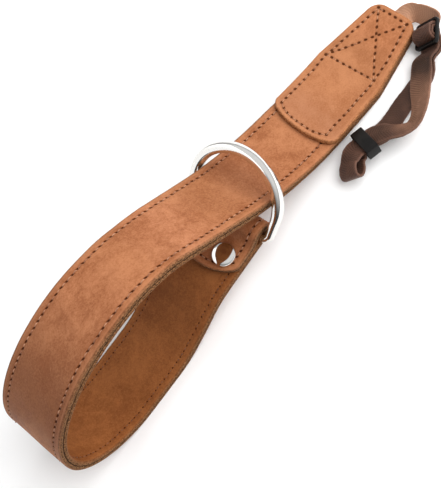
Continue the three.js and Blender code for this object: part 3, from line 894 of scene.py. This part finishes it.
def webAxes(heading, lean):
    # heading in plan from +X; the lean tips the right-hand edge down
    h, l = radians(heading), radians(lean)
    forward = np.array([cos(h), sin(h), 0])
    right = np.array([sin(h) * cos(l), -cos(h) * cos(l), -sin(l)])
    return forward, right, np.cross(right, forward)


def axesAt(place):
    return np.array([place[key] for key in "xyz"]), *webAxes(place["heading"], place["lean"])


stationColumns = ("x", "y", "z", "heading", "lean", "width")


def inFrame(place, run, over):
    origin, forward, _, up = axesAt(place)
    at = origin + forward * run + up * over
    return dict(zip(stationColumns, (*at, place["heading"], place["lean"], web["width"])))


def stationRows(*rows):
    # the width can be left out
    return [dict(zip(stationColumns, (*row, web["width"]))) for row in rows]


# Two layers of webbing lie a pitch apart, and pass under the slider's rails.
pitch = web["thickness"] + band["gap"] + 0.1
railPass = -(slider["thickness"] / 2 + band["gap"] + web["thickness"] / 2)
barWrap = -railPass
webLevel = bandThickness + band["gap"] + web["thickness"] / 2
sewnEnd = stationRows((-web["groove"], -0.6, webLevel, 354, 0), (-12, -1.7, webLevel, 352, 0),
                      (-4, -2.8, webLevel, 351, 0))
turnAtEnd = stationRows((0.5, -3.4, webLevel, 347, 0, 9.2), (2.8, -4.3, 4.2, 330, 22, 8.4),
                        (4.1, -6.7, 4.2, 293, 41, 7.6), (4.5, -9.8, 4.8, 258, 44, 8.2))
offBar = [(1.5, 2.95), (2.75, 2), (3.3, 0.5), (3.5, -0.7), (4.1, -1.65), (5.2, railPass - 0.15)]
throughSlider = [inFrame(slider, run, over) for run, over in (
    (-6.7, railPass - 0.3), *((-run, over) for run, over in reversed(offBar)),
    (0, barWrap + pitch), *offBar, (6.7, railPass - 0.2))]
outwardRun = stationRows((-12.6, -21.9, 5.9, 210, 35), (-17.5, -24.9, 5.6, 208, 28),
                         (-22.6, -28.2, 6, 207, 32), (-27.6, -31.9, 6.7, 203, 43),
                         (-32.6, -34.4, 7, 188, 50), (-37.3, -35.1, 7, 172, 49),
                         (-41.8, -32.8, 7.4, 155, 38), (-45.7, -28.6, 8.2, 147, 26))
upperInKeeper = [inFrame(keeper, run, pitch / 2)
                 for run in (-keeper["length"] / 2 - 0.4, 0, keeper["length"] / 2 + 1)]
toEye = stationRows((-60.8, -23.1, 8.3, 192, 25))[0]
halfEye = [(-3.6, 2), (-1.4, 2.4), (1, 2), (2.3, 0.9)]
aroundEye = [inFrame(eye, run, over) for run, over in halfEye]
aroundEye += [inFrame(eye, run, -over) for run, over in reversed(halfEye)]
innerRun = stationRows((-47, -25.9, 4.5, 163, 16), (-42, -26.3, 3.1, 171, 10, 9.2),
                       (-36.4, -25.7, 1.9, 177, 5, 8.4), (-30.6, -25.2, 1.6, 183, 5, 8.4),
                       (-24.6, -25.6, 2.1, 195, 12, 9))
returnRun = [inFrame(toEye, 0, -3.9)]
returnRun += [inFrame(station, 0, -pitch) for station in reversed(upperInKeeper)]
returnRun += innerRun
returnRun += [inFrame(station, 0, -pitch - 0.35) for station in (outwardRun[1], outwardRun[0])]
roundBar = [inFrame(slider, run, over) for run, over in (
    (6.7, railPass - pitch - 0.3),
    (4.7, railPass - pitch - 0.2), (2.4, -2.8), (1, -2.2), (-0.3, -barWrap - 0.1), (-1.5, -1.5),
    (-2, 0), (-1.5, 1.5), (0, barWrap), (1.5, 1.5), (2, 0), (1.85, -0.9))]
webStations = (sewnEnd + turnAtEnd + throughSlider + outwardRun + upperInKeeper + [toEye]
               + aroundEye + returnRun + roundBar)


def softCurve(points, k, part):
    # centripetal curve through the points: place and direction
    n = len(points)
    p1, p2 = points[k], points[k + 1]
    p0 = points[k - 1] if k > 0 else 2 * p1 - p2
    p3 = points[k + 2] if k + 2 < n else 2 * p2 - p1
    d0, d1, d2 = (max(norm(b - a), 1e-6) ** 0.5 for a, b in ((p0, p1), (p1, p2), (p2, p3)))
    t1 = ((p1 - p0) / d0 - (p2 - p0) / (d0 + d1) + (p2 - p1) / d1) * d1
    t2 = ((p2 - p1) / d1 - (p3 - p1) / (d1 + d2) + (p3 - p2) / d2) * d1
    c2, c3 = -3 * p1 + 3 * p2 - 2 * t1 - t2, 2 * p1 - 2 * p2 + t1 + t2
    return p1 + part * (t1 + part * (c2 + part * c3)), t1 + part * (2 * c2 + 3 * part * c3)


def webbingPiece(material):
    points = [axesAt(station)[0] for station in webStations]
    stations, widths = [], []
    for k, (a, b) in enumerate(zip(webStations, webStations[1:])):
        steps = max(2, round(norm(points[k + 1] - points[k]) / web["rowStep"]))
        for step in range(0 if k == 0 else 1, steps + 1):
            part = step / steps
            centre, tangent = softCurve(points, k, part)
            tangent = unit(tangent)
            heading, lean, width = (a[key] + (b[key] - a[key]) * part for key in stationColumns[3:])
            _, right, _ = webAxes(heading, lean)
            across = unit(right - tangent * (right @ tangent))
            stations.append((centre, across, np.cross(tangent, across)))
            widths.append(width)
    travel = distancesAlong([station[0] for station in stations])
    half, thick = np.array(widths)[:, None] / 2, web["thickness"] / 2
    cords = round(web["width"] / web["cord"])
    w = np.linspace(-1, 1, cords * 4 + 1)
    pastFlat = np.maximum(np.abs(w) - 1 + web["edge"], 0) / web["edge"]
    edgeRound = np.maximum(np.sqrt(np.clip(1 - pastFlat ** 2, 0, 1)), 0.05)
    phase = travel[:, None] * pi / web["pick"]
    rib = np.abs(np.sin(w[None] * cords * pi / 2))
    weave = web["relief"] * (rib - 1 + np.sin(phase + np.round(w[None] * cords / 2) * pi))
    face = (thick + weave) * edgeRound
    x = np.concatenate([half * w, half * w[::-1]], 1)
    y = np.concatenate([face, -face[:, ::-1]], 1)
    # the edges of a woven strap are a little wavy
    x *= 1 + web["waviness"] * np.sin(travel * web["wavePace"])[:, None]
    section = np.stack([x, y], -1)
    place = np.stack([np.broadcast_to(travel[:, None], x.shape), x, y], -1).reshape(-1, 3)
    sweptPiece("webbing_strap", stations, section, False, material, "strap",
               ["webbing"], {"place": place})
    print("webbing length", round(travel[-1], 1))


def webbingFinish():
    finish = Finish("brown_nylon_webbing", Specular_IOR_Level=0.3,
                    Sheen_Weight=0.2, Sheen_Roughness=0.4, Sheen_Tint=(0.8, 0.45, 0.35, 1))
    place = finish.place()
    travel, across = finish.parts(place, 0, 1)
    cords = across * (pi / web["cord"])
    rows = travel * 6.4 + abs(across) * 3.0
    yarn = (abs(cords.sine()) * 0.7 + rows.sine() * 0.3).step(0.1, 1.0)
    fuzz = finish.noise(finish.place((0.6, 3, 3)), 1.6, 4, 0.7)
    wear = finish.noise(place, 0.09, 4, 0.6)
    colour = finish.mix(yarn, (0.035, 0.0145, 0.0082), (0.084, 0.036, 0.0215))
    colour = finish.mix(wear.step(0.42, 0.70) * 0.5, colour, (0.145, 0.066, 0.042))
    colour = finish.mix(fuzz.step(0.55, 0.85) * 0.2, colour, (0.17, 0.085, 0.058))
    # painted light on the middle of its outward run, where it turns toward the lamp, and painted shade on
    # three other stretches
    colour = finish.toned(colour, travel, (
        (80, 18, (3.5, 4.0, 3.9)), (60, 9, (0.42, 0.42, 0.34)),
        (100, 10, (0.8, 0.82, 0.78)), (165, 14, (0.8, 0.78, 0.75))), 0.8, 1)
    colour = finish.mix(abs(across).step(3.4, 5.0) * 0.4, colour, (0.17, 0.080, 0.052))
    # it is pale tan from its sewn end, past where it leaves the patch, to about the slider
    paleStretch = (1 - (travel + (wear - 0.5) * 6).step(32, 41)) * (0.8 + yarn * 0.2)
    colour = finish.mix(paleStretch * 0.95, colour, (0.42, 0.215, 0.125))
    return finish.set(Base_Color=colour, Roughness=0.6 + (fuzz - 0.5) * 0.3,
                      Normal=finish.bumps((yarn, 0.08, 0.7), (fuzz, 0.04, 0.4)))


webbingPiece(webbingFinish())


def plasticFinish(name):
    finish = Finish(name, Specular_IOR_Level=0.24)
    position = finish.node("TexCoord", output="Object")
    grain = finish.noise(position, 2600, 4, 0.6)
    smear = finish.noise(position, 320, 4, 0.65)
    colour = finish.mix(smear.step(0.4, 0.75), (0.0045, 0.0038, 0.0034), (0.0105, 0.0090, 0.0082))
    roughness = 0.30 + smear.step(0.35, 0.7) * 0.22 + (grain - 0.5) * 0.1
    return finish.set(Base_Color=colour, Roughness=roughness, Normal=finish.bumps((grain, 0.03, 0.45)))


blackPlastic = plasticFinish("satin_black_plastic")


def roundedOutline(halfX, halfY, corner, steps=7):
    points = []
    for quarter, (i, j) in enumerate(((1, 1), (-1, 1), (-1, -1), (1, -1))):
        for a in np.radians(90 * quarter + np.linspace(0, 90, steps)):
            points.append((i * (halfX - corner) + corner * cos(a),
                           j * (halfY - corner) + corner * sin(a)))
    return np.array(points)


def mouldedPiece(name, outline, holes, depth, radius, axes, node):
    # a plate with an outline and holes, its edges rounded
    curve = bpy.data.curves.new(name, "CURVE")
    curve.dimensions = "2D"
    curve.fill_mode = "BOTH"
    for loop in (outline, *holes):
        spline = curve.splines.new("POLY")
        spline.points.add(len(loop) - 1)
        for point, (x, y) in zip(spline.points, loop):
            point.co = (x * mm, y * mm, 0, 1)
        spline.use_cyclic_u = True
    curve.extrude = (depth / 2 - radius) * mm
    curve.bevel_depth = radius * mm
    curve.bevel_resolution = 4
    curve.offset = -radius * mm
    shape = linked(name + "_shape", curve)
    bpy.context.view_layer.update()
    mesh = bpy.data.meshes.new_from_object(shape.evaluated_get(bpy.context.evaluated_depsgraph_get()))
    bpy.data.objects.remove(shape)
    points = np.array([v.co for v in mesh.vertices]) / mm
    faces = [list(p.vertices) for p in mesh.polygons]
    placed = axes[0] + points @ np.array(axes[1:])
    piece = addPiece(name, placed, faces, blackPlastic, replaces=[node])
    weld = piece.modifiers.new("weld", "WELD")
    weld.merge_threshold = 0.002 * mm


def fittingPieces():
    halfWeb, wall = web["width"] / 2, keeper["wall"]
    origin, forward, right, over = axesAt(slider)
    halfLength = slider["bar"] / 2 + slider["slot"] + slider["rail"]
    slotCentre = (slider["bar"] + slider["slot"]) / 2
    slot = roundedOutline(slider["slot"] / 2, halfWeb + slider["clearance"], slider["slotCorner"])[::-1]
    mouldedPiece("slider_buckle", roundedOutline(halfLength, slider["width"] / 2, slider["corner"]),
                 [slot - (slotCentre, 0), slot + (slotCentre, 0)], slider["thickness"],
                 slider["edgeRadius"], (origin, forward, -right, over), "slider")
    origin, forward, right, over = axesAt(keeper)
    halfWide, halfHigh = halfWeb + keeper["clearance"], web["thickness"] + 2.5 * band["gap"]
    mouldedPiece("keeper_sleeve", roundedOutline(halfWide + wall, halfHigh + wall, keeper["corner"]),
                 [roundedOutline(halfWide, halfHigh, keeper["innerCorner"])[::-1]], keeper["length"],
                 keeper["edgeRadius"], (origin, -right, over, forward), "keeper")


fittingPieces()

room = {"size": 3.0, "camera": {"lens": 58.78, "distance": 298.0, "azimuth": 0.1, "elevation": 66.3,
                                "roll": -52.95, "target": (-120.59, -12.58, 35.0)}}


def floorPiece():
    half = room["size"] / 2
    mesh = bpy.data.meshes.new("floor")
    corners = [(-half, -half, 0), (half, -half, 0), (half, half, 0), (-half, half, 0)]
    mesh.from_pydata(corners, [], [[0, 1, 2, 3]])
    pale = Finish("pale_floor", Base_Color=(0.93, 0.93, 0.93, 1), Roughness=0.65, Specular_IOR_Level=0.3)
    mesh.materials.append(pale.set())
    floor = linked("floor", mesh)


def softBox(name, place, size, energy, diffuse=True, glossy=True):
    light = bpy.data.lights.new(name, "AREA")
    light.shape = "RECTANGLE"
    light.size, light.size_y = size
    light.energy = energy
    lamp = linked(name, light)
    lamp.location = place
    lamp.visible_diffuse, lamp.visible_glossy = diffuse, glossy
    lamp.rotation_euler = (-Vector(place)).to_track_quat("-Z", "Y").to_euler()


class Sky(Finish):
    kind = "worlds"
    shaderNode = "Background"


def studio():
    floorPiece()
    # bright overhead, darker low down and past the tip of the loop; the wall itself is pale
    sky = Sky("studio", Color=(1, 1, 1, 1))
    way = sky.node("TexCoord")
    lean = sky.node("VectorMath", {"operation": "DOT_PRODUCT"}, {0: way, 1: (0.40, -0.10, 1.0)}, 1)
    glow = sky.node("MapRange", {}, {"Value": lean, "From Min": -0.15, "From Max": 0.75,
                                     "To Min": 0.06, "To Max": 0.82})
    seen = sky.node("LightPath")
    bpy.context.scene.world = sky.set(Strength=glow.larger(seen * 0.85))
    # what shines sees soft cards in place of the lamp
    softBox("key_softbox", (0.56, -0.30, 0.70), (1.1, 1.1), 13.0, glossy=False)
    softBox("key_card", (0.56, -0.30, 0.70), (1.0, 1.0), 3.4, diffuse=False)
    softBox("left_card", (-0.55, 0.62, 0.42), (1.3, 1.1), 5.0, diffuse=False)


def camera():
    view = room["camera"]
    data = bpy.data.cameras.new("camera")
    data.lens = view["lens"]
    data.sensor_width = 36
    lens = linked("camera", data)
    # turned about its target, then drawn back from it
    place = Matrix.Translation((Vector(shift) + Vector(view["target"])) * mm)
    for angle, axis in ((view["azimuth"], "Z"), (90 - view["elevation"], "X"), (view["roll"], "Z")):
        place @= Matrix.Rotation(radians(angle), 4, axis)
    lens.matrix_world = place @ Matrix.Translation((0, 0, view["distance"] * mm))
    bpy.context.scene.camera = lens
    print("camera", [round(c, 3) for c in lens.matrix_world.translation])


studio()
camera()
bpy.context.scene.view_settings.view_transform = "Standard"
